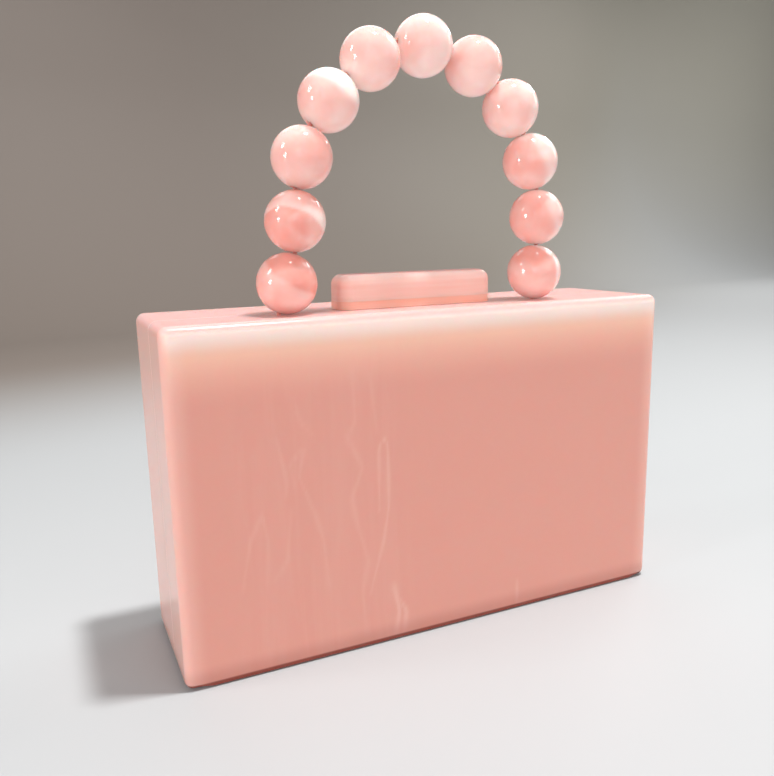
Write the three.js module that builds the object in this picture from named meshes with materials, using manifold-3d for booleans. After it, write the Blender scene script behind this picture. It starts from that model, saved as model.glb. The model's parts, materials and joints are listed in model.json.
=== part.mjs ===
// A hard-shell evening bag: two cast acrylic trays hinged along the bottom seam, a layered clasp bar that
// reaches over the top seam, and an arch of drilled beads threaded on a stiff wire.
// Millimetres, +Z up, +Y to the back, origin at the middle of the base.
import * as THREE from "three";
import { RoundedBoxGeometry } from "three/addons/geometries/RoundedBoxGeometry.js";
import { mergeVertices } from "three/addons/utils/BufferGeometryUtils.js";
import Module from "manifold-3d";

const wasm = await Module();
wasm.setup();

// Driving dimensions
const CASE = { width: 200, depth: 56.6, height: 123.5, wall: 4, edgeRadius: 3.2, edgeSteps: 4 };
const SEAM = { y: -6, gap: 0.3, bevelDegrees: 32 };
const CLASP = {
  x: -1.9,
  y: -5.5,
  length: 63.4,
  depth: 14,
  baseHeight: 2.7,
  barHeight: 9.3,
  edgeRadius: 4,
  edgeSteps: 4,
};
const BEAD = { diameter: 21.1, bore: 2.8, sides: 16, rings: 10, gap: 0.15 };
const HANDLE = { footX: -53.7, y: -13, footBoreLean: 20 };
const WIRE = { diameter: 1.5, sides: 8, steps: 110, hole: 2.6, stopDiameter: 5, stopHeight: 3 };
const HINGE = {
  x: 60,
  width: 24,
  centreKnuckle: 10,
  axisZ: 2.6,
  barrelRadius: 2.1,
  pinRadius: 0.8,
  boreRadius: 1.15,
  leafLength: 13,
  leafThickness: 1,
};
const CLEARANCE = 0.3;

// How far each stretch of the handle leans from straight up, in degrees, from the left foot to the right.
// A stretch runs from one bead's centre to the next, a bead diameter and a small gap further on.
const LINK_LEANS = [10.7, 9.0, 28.9, 47.9, 74.4, 104.5, 130.5, 153.9, 170.8, 182.0];

const caseTop = CASE.height;
const innerTop = CASE.height - CASE.wall;
const overcut = 1;

function acrylic(color) {
  return new THREE.MeshStandardMaterial({ color, roughness: 0.15, metalness: 0 });
}

function plainSteel() {
  return new THREE.MeshStandardMaterial({ color: 0xb9b7b2, roughness: 0.35, metalness: 1 });
}

// A closed geometry as a solid that can be joined and cut.
function solidOf(geometry) {
  const bare = geometry.clone();
  bare.deleteAttribute("normal");
  bare.deleteAttribute("uv");
  const merged = mergeVertices(bare, 1e-4);
  const mesh = new wasm.Mesh({
    numProp: 3,
    vertProperties: new Float32Array(merged.attributes.position.array),
    triVerts: new Uint32Array(merged.index.array),
  });
  return new wasm.Manifold(mesh);
}

function geometryOf(solid) {
  const { vertProperties, triVerts } = solid.getMesh();
  const geometry = new THREE.BufferGeometry();
  geometry.setAttribute("position", new THREE.BufferAttribute(vertProperties, 3));
  geometry.setIndex(new THREE.BufferAttribute(triVerts, 1));
  geometry.computeVertexNormals();
  return geometry;
}

function namedMesh(name, geometry, material) {
  const mesh = new THREE.Mesh(geometry, material);
  mesh.name = name;
  return mesh;
}

// A block given by its lowest and highest corners.
function block(low, high) {
  const size = high.map((value, axis) => value - low[axis]);
  const middle = high.map((value, axis) => (value + low[axis]) / 2);
  return solidOf(new THREE.BoxGeometry(...size).translate(...middle));
}

function rodAlongX(radius, length, sides) {
  return solidOf(new THREE.CylinderGeometry(radius, radius, length, sides).rotateZ(Math.PI / 2));
}

function rodAlongZ(radius, length, sides) {
  return solidOf(new THREE.CylinderGeometry(radius, radius, length, sides).rotateX(Math.PI / 2));
}

// The triangular groove along the bottom seam, its ridge on the hinge axis, that lets the shells fold back.
function seamGroove() {
  const reach = HINGE.axisZ + overcut;
  const half = reach * Math.tan(THREE.MathUtils.degToRad(SEAM.bevelDegrees));
  const section = new THREE.Shape([
    new THREE.Vector2(-half, -reach),
    new THREE.Vector2(half, -reach),
    new THREE.Vector2(0, 0),
  ]);
  const length = CASE.width + 2 * overcut;
  const groove = new THREE.ExtrudeGeometry(section, { depth: length, bevelEnabled: false });
  const alongX = new THREE.Matrix4().makeBasis(
    new THREE.Vector3(0, 1, 0),
    new THREE.Vector3(0, 0, 1),
    new THREE.Vector3(1, 0, 0),
  );
  groove.applyMatrix4(alongX).translate(-length / 2, SEAM.y, HINGE.axisZ);
  return solidOf(groove);
}

// The whole case before it is parted: a hollow rounded box, its base cut for the groove and the hinges.
function wholeCase() {
  const { width, depth, height, wall, edgeRadius, edgeSteps } = CASE;
  const outside = new RoundedBoxGeometry(width, depth, height, edgeSteps, edgeRadius);
  outside.translate(0, 0, height / 2);
  const cavity = block(
    [-width / 2 + wall, -depth / 2 + wall, wall],
    [width / 2 - wall, depth / 2 - wall, innerTop],
  );
  let whole = solidOf(outside).subtract(cavity).subtract(seamGroove());
  const slotHalfDepth = HINGE.barrelRadius + CLEARANCE;
  const slotHalfWidth = HINGE.width / 2 + CLEARANCE;
  for (const x of [-HINGE.x, HINGE.x]) {
    const slot = block(
      [x - slotHalfWidth, SEAM.y - slotHalfDepth, -overcut],
      [x + slotHalfWidth, SEAM.y + slotHalfDepth, wall + overcut],
    );
    whole = whole.subtract(slot);
  }
  return whole;
}

function halfSpace(fromY, toY) {
  const reach = CASE.width;
  return block([-reach, fromY, -reach], [reach, toY, reach]);
}

// The front shell also has the two small holes that the handle's wire goes down through.
function frontShell(whole, feet) {
  let shell = whole.intersect(halfSpace(-CASE.depth, SEAM.y - SEAM.gap / 2));
  for (const foot of feet) {
    const hole = rodAlongZ(WIRE.hole / 2, 3 * CASE.wall, 16).translate([foot.x, foot.y, innerTop]);
    shell = shell.subtract(hole);
  }
  return namedMesh("front_shell", geometryOf(shell), acrylic(0xe0a08f));
}

function backShell(whole) {
  const shell = whole.intersect(halfSpace(SEAM.y + SEAM.gap / 2, CASE.depth));
  return namedMesh("back_shell", geometryOf(shell), acrylic(0xe0a08f));
}

// The clasp's two layers are slices of the upper half of one rounded block: a straight-sided base, and a bar
// with a rounded top.
function claspLayers() {
  const { length, depth, baseHeight, barHeight, edgeRadius, edgeSteps } = CLASP;
  const top = CLEARANCE + baseHeight + CLEARANCE + barHeight;
  const bar = solidOf(new RoundedBoxGeometry(length, depth, 2 * top, edgeSteps, edgeRadius));
  const slice = (low, high) => bar.intersect(block([-length, -depth, low], [length, depth, high]));
  const base = slice(CLEARANCE, CLEARANCE + baseHeight);
  const upper = slice(top - barHeight, top + overcut);
  const group = new THREE.Group();
  group.position.set(CLASP.x, CLASP.y, caseTop);
  group.add(namedMesh("clasp_base", geometryOf(base), acrylic(0xe2998a)));
  group.add(namedMesh("clasp_bar", geometryOf(upper), acrylic(0xe8a394)));
  return group;
}

// Bead centres, found by walking up from the left foot along the leaning links.
function beadCentres() {
  const pitch = BEAD.diameter + BEAD.gap;
  const footZ = caseTop + BEAD.gap + BEAD.diameter / 2;
  const centres = [new THREE.Vector3(HANDLE.footX, HANDLE.y, footZ)];
  for (const lean of LINK_LEANS) {
    const step = linkDirection(lean).multiplyScalar(pitch);
    centres.push(centres.at(-1).clone().add(step));
  }
  return centres;
}

function linkDirection(leanDegrees) {
  const lean = THREE.MathUtils.degToRad(leanDegrees);
  return new THREE.Vector3(Math.sin(lean), 0, Math.cos(lean));
}

// Each bore leans as far to one side of the link as the next bore leans to the other, so that they meet.
function boreLeans() {
  const leans = [HANDLE.footBoreLean];
  for (const link of LINK_LEANS) {
    leans.push(2 * link - leans.at(-1));
  }
  return leans;
}

// Where the wire comes up out of the case: straight under the lower ends of the two foot beads' bores.
function wireFeet(centres) {
  const leans = boreLeans();
  const reach = BEAD.diameter / 2;
  const left = centres[0].clone().sub(linkDirection(leans[0]).multiplyScalar(reach));
  const right = centres.at(-1).clone().add(linkDirection(leans.at(-1)).multiplyScalar(reach));
  return [left, right];
}

// A drilled bead turned about its bore: up the outside from the bore's lower rim, then back down the bore.
function beadGeometry() {
  const radius = BEAD.diameter / 2;
  const boreRadius = BEAD.bore / 2;
  const rimLatitude = Math.acos(boreRadius / radius);
  const profile = [];
  for (let ring = 0; ring <= BEAD.rings; ring += 1) {
    const latitude = rimLatitude * ((2 * ring) / BEAD.rings - 1);
    profile.push(new THREE.Vector2(radius * Math.cos(latitude), radius * Math.sin(latitude)));
  }
  profile.push(profile[0].clone());
  return new THREE.LatheGeometry(profile, BEAD.sides).rotateX(Math.PI / 2);
}

function beads(centres) {
  const geometry = beadGeometry();
  const leans = boreLeans();
  return centres.map((centre, index) => {
    const name = `bead_${String(index + 1).padStart(2, "0")}`;
    const bead = namedMesh(name, geometry, acrylic(0xf2b3a7));
    bead.position.copy(centre);
    bead.rotation.y = THREE.MathUtils.degToRad(leans[index]);
    return bead;
  });
}

// The wire runs straight through each bore and bends between the beads, with a stop inside at each end.
function handleWire(centres, feet) {
  const stations = [-0.44, -0.3, 0.3, 0.44].map((share) => share * BEAD.diameter);
  const leans = boreLeans();
  const endZ = innerTop - CLEARANCE - WIRE.stopHeight / 2;
  const underBead = caseTop - CASE.wall / 2;
  const atHeight = (foot, z) => new THREE.Vector3(foot.x, foot.y, z);
  const ends = feet.map((foot) => atHeight(foot, endZ));
  const route = [ends[0], atHeight(feet[0], underBead)];
  centres.forEach((centre, index) => {
    const along = linkDirection(leans[index]);
    route.push(...stations.map((station) => centre.clone().addScaledVector(along, station)));
  });
  route.push(atHeight(feet[1], underBead), ends[1]);
  const turn = (2 * Math.PI) / WIRE.sides;
  const section = Array.from({ length: WIRE.sides }, (_, side) => {
    const angle = turn * side;
    return new THREE.Vector2(Math.cos(angle), Math.sin(angle)).multiplyScalar(WIRE.diameter / 2);
  });
  const extrudePath = new THREE.CatmullRomCurve3(route, false, "chordal");
  const tube = new THREE.ExtrudeGeometry(new THREE.Shape(section), { steps: WIRE.steps, extrudePath });
  let wire = solidOf(tube);
  for (const end of ends) {
    const stop = rodAlongZ(WIRE.stopDiameter / 2, WIRE.stopHeight, 12).translate(end.toArray());
    wire = wire.add(stop);
  }
  return namedMesh("handle_wire", geometryOf(wire), plainSteel());
}

// One leaf of a hinge about its own axis: a knuckle over each span of x, and a plate towards way times y.
function hingeLeaf(spans, way) {
  const { width, barrelRadius, leafLength, leafThickness } = HINGE;
  const plateLow = CASE.wall + CLEARANCE - HINGE.axisZ;
  const plateHigh = plateLow + leafThickness;
  const clearOfBarrel = barrelRadius + CLEARANCE;
  const across = (near, far) => [Math.min(way * near, way * far), Math.max(way * near, way * far)];
  const [plateFrom, plateTo] = across(clearOfBarrel, leafLength);
  let leaf = block([-width / 2, plateFrom, plateLow], [width / 2, plateTo, plateHigh]);
  const [earFrom, earTo] = across(0, clearOfBarrel + overcut);
  for (const [from, to] of spans) {
    const knuckle = rodAlongX(barrelRadius, to - from, 16).translate([(from + to) / 2, 0, 0]);
    leaf = leaf.add(knuckle).add(block([from, earFrom, plateLow], [to, earTo, plateHigh]));
  }
  return leaf;
}

// The front leaf has the outer knuckles and the pin, and the back leaf's middle knuckle turns on that pin.
function hinge(side, x) {
  const outer = HINGE.width / 2;
  const inner = HINGE.centreKnuckle / 2;
  const pin = rodAlongX(HINGE.pinRadius, HINGE.width, 16);
  const bore = rodAlongX(HINGE.boreRadius, HINGE.width, 16);
  const outerSpans = [[-outer, -inner - CLEARANCE], [inner + CLEARANCE, outer]];
  const front = hingeLeaf(outerSpans, -1).add(pin);
  const back = hingeLeaf([[-inner, inner]], 1).subtract(bore);
  const group = new THREE.Group();
  group.position.set(x, SEAM.y, HINGE.axisZ);
  group.add(namedMesh(`hinge_${side}_front`, geometryOf(front), plainSteel()));
  group.add(namedMesh(`hinge_${side}_back`, geometryOf(back), plainSteel()));
  return group;
}

function bag() {
  const centres = beadCentres();
  const feet = wireFeet(centres);
  const whole = wholeCase();
  const group = new THREE.Group();
  group.add(frontShell(whole, feet), backShell(whole), claspLayers());
  group.add(...beads(centres), handleWire(centres, feet));
  group.add(hinge("left", -HINGE.x), hinge("right", HINGE.x));
  return group;
}

export default bag();
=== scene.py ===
"""Finish of the bead-handled box clutch: polished trays, a layered clasp and an arch of marbled beads."""
import json
import math

import bmesh
import bpy
import numpy as np
from bpy.props import FloatProperty, FloatVectorProperty, IntProperty, PointerProperty
from mathutils import Matrix, Vector


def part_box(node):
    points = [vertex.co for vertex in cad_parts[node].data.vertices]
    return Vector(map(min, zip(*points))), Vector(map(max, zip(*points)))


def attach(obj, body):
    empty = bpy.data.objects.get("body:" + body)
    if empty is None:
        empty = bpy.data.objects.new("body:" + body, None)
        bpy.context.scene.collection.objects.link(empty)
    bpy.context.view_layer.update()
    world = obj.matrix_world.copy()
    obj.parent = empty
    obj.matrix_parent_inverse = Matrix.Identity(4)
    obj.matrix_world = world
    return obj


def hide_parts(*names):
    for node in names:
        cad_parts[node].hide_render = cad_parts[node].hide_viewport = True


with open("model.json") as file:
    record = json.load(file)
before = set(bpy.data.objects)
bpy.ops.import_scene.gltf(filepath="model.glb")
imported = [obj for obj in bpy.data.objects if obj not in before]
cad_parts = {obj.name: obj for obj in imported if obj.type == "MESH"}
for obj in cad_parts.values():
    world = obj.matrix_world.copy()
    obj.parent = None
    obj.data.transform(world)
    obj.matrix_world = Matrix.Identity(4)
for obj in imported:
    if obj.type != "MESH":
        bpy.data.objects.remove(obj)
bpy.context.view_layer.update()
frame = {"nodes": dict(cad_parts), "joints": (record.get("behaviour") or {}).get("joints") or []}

bl_info = {
    "name": "Bead-handled box clutch",
    "version": (1, 0, 0),
    "blender": (4, 5, 0),
    "location": "View3D > Sidebar > Clutch",
    "description": "Dresses the box clutch in polished acrylic, marbled beads and plain steel",
    "category": "Object",
}

MM = 0.001
MERGE_DISTANCE = 1e-6
SHARP_ANGLE = math.radians(40)
SENSOR_WIDTH = 36
NEAREST_SEEN = 10 * MM
FRONT_BODY = "front_case"
BACK_BODY = "back_case"
BEAD_NODES = sorted(name for name in frame["nodes"] if name.startswith("bead_"))
HINGE_NODES = sorted(name for name in frame["nodes"] if name.startswith("hinge_"))
HINGE_AXIS = Vector(frame["joints"][0]["pos_m"])


def linear(hex_colour):
    """Turns sRGB hex into linear RGBA by the standard curve: a short straight foot, then a power of 2.4."""
    channels = np.array([int(hex_colour[start:start + 2], 16) for start in (1, 3, 5)]) / 255
    curved = ((channels + 0.055) / 1.055) ** 2.4
    return (*np.where(channels <= 0.04045, channels / 12.92, curved).tolist(), 1.0)


def length_setting(name, millimetres, description):
    """A length that a user may change, given in millimetres and kept in metres."""
    return FloatProperty(name=name, description=description, default=millimetres * MM, unit="LENGTH")


def angle_setting(name, degrees, description):
    """An angle that a user may change, given in degrees and kept in radians."""
    return FloatProperty(name=name, description=description, default=math.radians(degrees), subtype="ANGLE")


def colour_setting(name, hex_colour, description):
    """A colour that a user may change, given as sRGB hex and kept as linear RGBA."""
    return FloatVectorProperty(
        name=name, description=description, default=linear(hex_colour), size=4, subtype="COLOR", min=0, max=1
    )


class CaseSettings(bpy.types.PropertyGroup):
    """Sizes and colours of the two acrylic trays."""

    wall: length_setting("Wall", 4, "Thickness of the acrylic sheet")
    edge_radius: length_setting("Edge radius", 3.2, "Radius of the outer edges and corners")
    foot_round: length_setting("Foot round", 0.7, "Height of the lower edge's round between its corners")
    rim_bevel: length_setting("Rim bevel", 0.15, "Polished bevel where the two trays meet")
    inner_fillet: length_setting("Inner fillet", 1.2, "Glue fillet in the inner corners")
    seam_gap: length_setting("Seam gap", 0.3, "Gap between the closed trays")
    groove_angle: angle_setting("Groove angle", 32, "Slope of the bottom seam's bevels, from upright")
    slot_depth: length_setting("Slot depth", 2.4, "How far each hinge slot goes in from the seam")
    slot_clearance: length_setting("Slot clearance", 0.3, "Room at each end of a hinge slot")
    # Painted light: the warm glow is painted into the colour down to this depth from the top.
    warm_glow_depth: length_setting("Flush depth", 28, "How far down the light from above warms the acrylic")
    # Painted light: the milky glow painted into the colour reaches this far down from the top.
    glow_depth: length_setting("Glow depth", 10.5, "How far down it turns the acrylic milky")
    # Painted light: the ends are painted paler this far in, for light that comes back out there.
    edge_glow: length_setting("Edge glow", 9, "How far in from the ends the acrylic is paler")
    # Painted shade: the acrylic is painted dimmer up to this height above the foot.
    foot_shade: length_setting("Foot shade", 9, "How far up from the foot the acrylic is dimmer")
    # Painted shadow: the dark line along the foot is painted.
    foot_shadow_line: length_setting("Foot line", 2.3, "Height of the dark line along the foot")
    body: colour_setting("Body", "#E3A395", "Salmon pink of the sheet")
    # Painted light: warm peach painted where light from above soaks into the sheet.
    flush: colour_setting("Flush", "#FFC3AE", "Warm peach where light soaks in from above")
    # Also painted light: besides the white pigment's drips and streaks, this pink is the glow painted along
    # the top and at the ends.
    pale: colour_setting("Pale", "#FFE2DA", "Milky pink where it comes back out at the edges")
    # Painted light: the top and its rounded edges get this softer pink, a toned-down copy of the sheet where
    # the lamps overhead light it strongly.
    painted_lit_top: colour_setting("Crest", "#E8B6B1", "Soft pink of the top, which faces the lamps")
    # Painted shadow: brown-red painted along the foot, where the underside of the rounded edge lies in shade.
    painted_foot_shadow: colour_setting("Deep", "#8E483D", "Brown-red along the foot of the case")


class ClaspSettings(bpy.types.PropertyGroup):
    """Sizes and colours of the clasp's two layers."""

    plan_radius: length_setting("Plan radius", 4.6, "Radius of the upright corners")
    crown_radius: length_setting("Crown radius", 3.8, "Radius of the bar's upper edge")
    split_bevel: length_setting("Split bevel", 0.01, "Bevel where the two layers meet")
    foot_bevel: length_setting("Foot bevel", 0.05, "Bevel where the lower layer is glued to the case")
    foot_gap: length_setting("Foot gap", 0.04, "Room under the lower layer, for the back tray to leave by")
    bar_tint: colour_setting("Bar", "#F6C3B6", "Pink of the upper bar")
    base_tint: colour_setting("Base", "#F7B69F", "Warmer pink of the lower layer")
    # Painted light: the milky glow painted along the bar's crown.
    pale: colour_setting("Pale", "#F9DAD4", "Milky pink along the bar's crown")
    flat: colour_setting("Flat", "#EFA29C", "Deeper pink of the bar's flat top")


class BeadSettings(bpy.types.PropertyGroup):
    """Sizes and colours of the drilled beads."""

    bore: length_setting("Bore", 2.8, "Diameter of the hole for the wire")
    rim: length_setting("Rim", 0.25, "Rounding of the bore's rims")
    foot_lean: angle_setting("Foot lean", 20, "Lean of the first bead's bore")
    around: IntProperty(name="Around", description="Faces round each bead", default=72, min=12)
    along: IntProperty(name="Along", description="Faces from rim to rim", default=44, min=8)
    rose: colour_setting("Rose", "#E99B8E", "Clear pink of the acrylic")
    # Also the colour of the painted glow in the beads.
    milk_and_glow: colour_setting("Milk", "#FFE9E4", "Milky veils in it")


class SteelSettings(bpy.types.PropertyGroup):
    """Colours of the hinges and the wire."""

    tint: colour_setting("Steel", "#C3C1BC", "Plain satin steel of the hinges")
    coat: colour_setting("Wire coat", "#C9796C", "Dull pink nylon that coats the wire")


class StageSettings(bpy.types.PropertyGroup):
    """Floor, lamps and camera."""

    floor: colour_setting("Floor", "#B9BBBC", "Pale floor")
    # Painted shade: the taupe stands for the light falling off towards the back.
    wall: colour_setting("Wall", "#8F847C", "Taupe backdrop")
    # Painted light: the backdrop painted paler right of the middle.
    wall_middle_painted_light: colour_setting("Wall middle", "#9E998E", "Paler taupe on the right of the middle")
    # Painted light: paler still at the right end.
    wall_right_painted_light: colour_setting("Wall right", "#DAD5C6", "Pale paint at its right end, where less light falls")
    turn: angle_setting("Turn", 10, "Turn of the backdrop about upright")
    wall_distance: length_setting("Wall distance", 1500, "From the case to the backdrop")
    sweep_radius: length_setting("Sweep radius", 500, "Curve from the floor up to the backdrop")
    camera_place: FloatVectorProperty(
        name="Camera place",
        description="Where the photograph was taken from",
        default=(-0.13296, -0.26723, 0.15),
        subtype="TRANSLATION",
        unit="LENGTH",
    )
    camera_yaw: angle_setting("Yaw", 24.58, "Turn to the right of +Y")
    camera_pitch: angle_setting("Pitch", 11.39, "Tilt below level")
    camera_roll: angle_setting("Roll", -1.226, "Roll about the line of sight")
    focal_length: FloatProperty(name="Focal length", description="For a 36 mm sensor", default=35.35)


def add_node(tree, kind, sockets=None, **options):
    """Adds one shader node, sets its options, and gives each listed socket a value or a link."""
    made = tree.nodes.new("ShaderNode" + kind)
    for option, value in options.items():
        setattr(made, option, value)
    for key, value in (sockets or {}).items():
        if isinstance(value, bpy.types.NodeSocket):
            tree.links.new(value, made.inputs[key])
        else:
            made.inputs[key].default_value = value
    return made


def new_material(name):
    """An empty node material, its tree, its output's surface socket and the piece's own coordinates."""
    material = bpy.data.materials.new(name)
    material.use_nodes = True
    tree = material.node_tree
    tree.nodes.clear()
    surface = add_node(tree, "OutputMaterial").inputs["Surface"]
    place = add_node(tree, "TexCoord").outputs["Object"]
    return material, tree, surface, place


# Sockets of a colour Mix node, by number, because several of them share a name.
MIX_FACTOR = 0
MIX_A = 6
MIX_B = 7
MIX_RESULT = 2
MIX_COLOURS = {"data_type": "RGBA"}
SMOOTH = {"interpolation_type": "SMOOTHSTEP"}


# Cast acrylic sheet, cut and flame polished, salmon pink: faint streaks run down the sheet, and thin drips of
# white pigment hang in it. Light is painted into its colour: a warm peach glow down from the top where light
# soaks in, a milky glow along the top and the ends where it comes back out, a softer pink on the strongly lit
# top, and painted shade that dims the foot down to a brown-red line.
def cast_sheet_acrylic(settings, case_high):
    top = case_high.z
    end = case_high.x
    radius = settings.edge_radius
    warm_glow_bend = 1.9
    end_glow_share = 0.3
    drip_milk = 0.16
    streak_milk = 0.05
    streak_size = (5 * MM, 20 * MM, 60 * MM)
    patch_left = 48 * MM
    patch_edge = 42 * MM
    patch_full = 22 * MM
    lit_top_full = 0.3 * radius
    shade_share = 0.26
    shadow_line_full = 0.7 * settings.foot_shadow_line
    material, tree, surface, place = new_material("acrylic_cast_sheet_flame_polished")
    axes = add_node(tree, "SeparateXYZ", {"Vector": place}).outputs
    from_middle = add_node(tree, "VectorMath", {0: place}, operation="ABSOLUTE").outputs["Vector"]
    sideways = add_node(tree, "SeparateXYZ", {"Vector": from_middle}).outputs["X"]

    # Painted light: warm peach glow, strongest at the top and left out at the ends.
    ramp = {"Value": axes["Z"], "From Min": top - settings.warm_glow_depth, "From Max": top - settings.glow_depth}
    under_top = add_node(tree, "MapRange", ramp).outputs["Result"]
    warm_glow_ramp = add_node(tree, "Math", {0: under_top, 1: warm_glow_bend}, operation="POWER").outputs[0]
    # Painted light: milky glow along the top and at the ends.
    ramp = {"Value": axes["Z"], "From Min": top - settings.glow_depth, "From Max": top - radius}
    painted_glow_ramp = add_node(tree, "MapRange", ramp, **SMOOTH).outputs["Result"]
    ramp = {"Value": sideways, "From Min": end, "From Max": end - radius}
    off_ends = add_node(tree, "MapRange", ramp, **SMOOTH).outputs["Result"]
    warm_glow_share = add_node(tree, "Math", {0: warm_glow_ramp, 1: off_ends}, operation="MULTIPLY").outputs[0]
    glow = add_node(tree, "Math", {0: painted_glow_ramp, 1: off_ends}, operation="MULTIPLY").outputs[0]
    ramp = {"Value": sideways, "From Min": end - settings.edge_glow, "From Max": end, "To Max": end_glow_share}
    painted_end_glow = add_node(tree, "MapRange", ramp, **SMOOTH).outputs["Result"]
    edges = add_node(tree, "Math", {0: glow, 1: painted_end_glow}, operation="ADD").outputs[0]

    drips = add_node(tree, "Attribute", attribute_name="pigment_drips").outputs["Fac"]
    drip_share = add_node(tree, "Math", {0: drips, 1: drip_milk}, operation="MULTIPLY").outputs[0]
    sockets = {"Vector": place, "Scale": [1 / size for size in streak_size]}
    drawn_down = add_node(tree, "Mapping", sockets).outputs["Vector"]
    sockets = {"Vector": drawn_down, "Scale": 1.0, "Detail": 3.0, "Distortion": 0.8}
    streaks = add_node(tree, "TexNoise", sockets).outputs["Fac"]
    ramp = {"Value": streaks, "From Min": 0.4, "From Max": 0.75, "To Max": streak_milk}
    streak = add_node(tree, "MapRange", ramp).outputs["Result"]
    from_patch = add_node(tree, "Math", {0: axes["X"], 1: patch_left}, operation="ADD").outputs[0]
    off_patch = add_node(tree, "Math", {0: from_patch}, operation="ABSOLUTE").outputs[0]
    ramp = {"Value": off_patch, "From Min": patch_edge, "From Max": patch_full}
    patch = add_node(tree, "MapRange", ramp, **SMOOTH).outputs["Result"]
    streak_share = add_node(tree, "Math", {0: streak, 1: patch}, operation="MULTIPLY").outputs[0]
    marks = add_node(tree, "Math", {0: drip_share, 1: streak_share}, operation="ADD").outputs[0]
    # White pigment and the painted glow together.
    milk_and_glow = add_node(tree, "Math", {0: edges, 1: marks}, operation="ADD", use_clamp=True).outputs[0]

    # Painted light: the softer pink of the strongly lit top.
    ramp = {"Value": axes["Z"], "From Min": top - radius, "From Max": top - lit_top_full}
    lit_top_share = add_node(tree, "MapRange", ramp, **SMOOTH).outputs["Result"]
    # Painted shade: dimmer towards the foot, then the painted brown-red shadow line at the foot.
    ramp = {
        "Value": axes["Z"],
        "From Min": settings.foot_shade,
        "From Max": settings.foot_shadow_line,
        "To Max": shade_share,
    }
    low = add_node(tree, "MapRange", ramp, **SMOOTH).outputs["Result"]
    ramp = {"Value": axes["Z"], "From Min": settings.foot_shadow_line, "From Max": shadow_line_full, "To Min": low}
    foot = add_node(tree, "MapRange", ramp, **SMOOTH).outputs["Result"]
    # Over the salmon body: painted warm glow, white pigment with painted milky glow, the painted softer pink
    # of the lit top, and painted shade at the foot.
    tint = settings.body
    for share, over in (
        (warm_glow_share, settings.flush),
        (milk_and_glow, settings.pale),
        (lit_top_share, settings.painted_lit_top),
        (foot, settings.painted_foot_shadow),
    ):
        sockets = {MIX_FACTOR: share, MIX_A: tint, MIX_B: over}
        tint = add_node(tree, "Mix", sockets, **MIX_COLOURS).outputs[MIX_RESULT]
    sockets = {
        "Base Color": tint,
        "Roughness": 0.25,
        "IOR": 1.49,
        "Specular IOR Level": 0.25,
        "Subsurface Weight": 0.8,
        "Subsurface Radius": (1.0, 0.38, 0.28),
        "Subsurface Scale": 5 * MM,
    }
    shader = add_node(tree, "BsdfPrincipled", sockets)
    tree.links.new(shader.outputs[0], surface)
    return material


# Cast acrylic block, milled and buffed: the same pink as the case, with a painted milky glow of light on its
# rounded crown, deeper on its flat top, and with the fine level lines that milling leaves in the mass.
def buffed_block_acrylic(name, block_tint, settings, crown_from, top, glow_depth):
    crown_glow_share = 0.45
    line_milk = 0.3
    line_size = (30 * MM, 30 * MM, 0.9 * MM)
    flat_from = top - 0.5 * MM
    flat_full = top - 0.05 * MM
    flat_share = 0.8
    material, tree, surface, place = new_material(name)
    height = add_node(tree, "SeparateXYZ", {"Vector": place}).outputs["Z"]
    # Painted light: milky glow painted up the rounded crown.
    ramp = {"Value": height, "From Min": crown_from, "From Max": top, "To Max": crown_glow_share}
    crown = add_node(tree, "MapRange", ramp, **SMOOTH).outputs["Result"]
    sockets = {"Vector": place, "Scale": [1 / size for size in line_size]}
    drawn_along = add_node(tree, "Mapping", sockets).outputs["Vector"]
    lines = add_node(tree, "TexNoise", {"Vector": drawn_along, "Scale": 1.0, "Detail": 3.0}).outputs["Fac"]
    ramp = {"Value": lines, "From Min": 0.3, "From Max": 0.7, "To Max": line_milk}
    line_share = add_node(tree, "MapRange", ramp).outputs["Result"]
    # Milling lines and the painted glow together.
    milk_and_glow = add_node(tree, "Math", {0: crown, 1: line_share}, operation="ADD", use_clamp=True).outputs[0]
    ramp = {"Value": height, "From Min": flat_from, "From Max": flat_full, "To Max": flat_share}
    on_flat = add_node(tree, "MapRange", ramp, **SMOOTH).outputs["Result"]
    tint = block_tint
    for share, over in ((milk_and_glow, settings.pale), (on_flat, settings.flat)):
        sockets = {MIX_FACTOR: share, MIX_A: tint, MIX_B: over}
        tint = add_node(tree, "Mix", sockets, **MIX_COLOURS).outputs[MIX_RESULT]
    sockets = {
        "Base Color": tint,
        "Roughness": 0.15,
        "IOR": 1.49,
        "Specular IOR Level": 0.3,
        "Subsurface Weight": 0.6,
        "Subsurface Radius": (1.0, 0.42, 0.3),
        "Subsurface Scale": glow_depth,
    }
    shader = add_node(tree, "BsdfPrincipled", sockets)
    tree.links.new(shader.outputs[0], surface)
    return material


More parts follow.
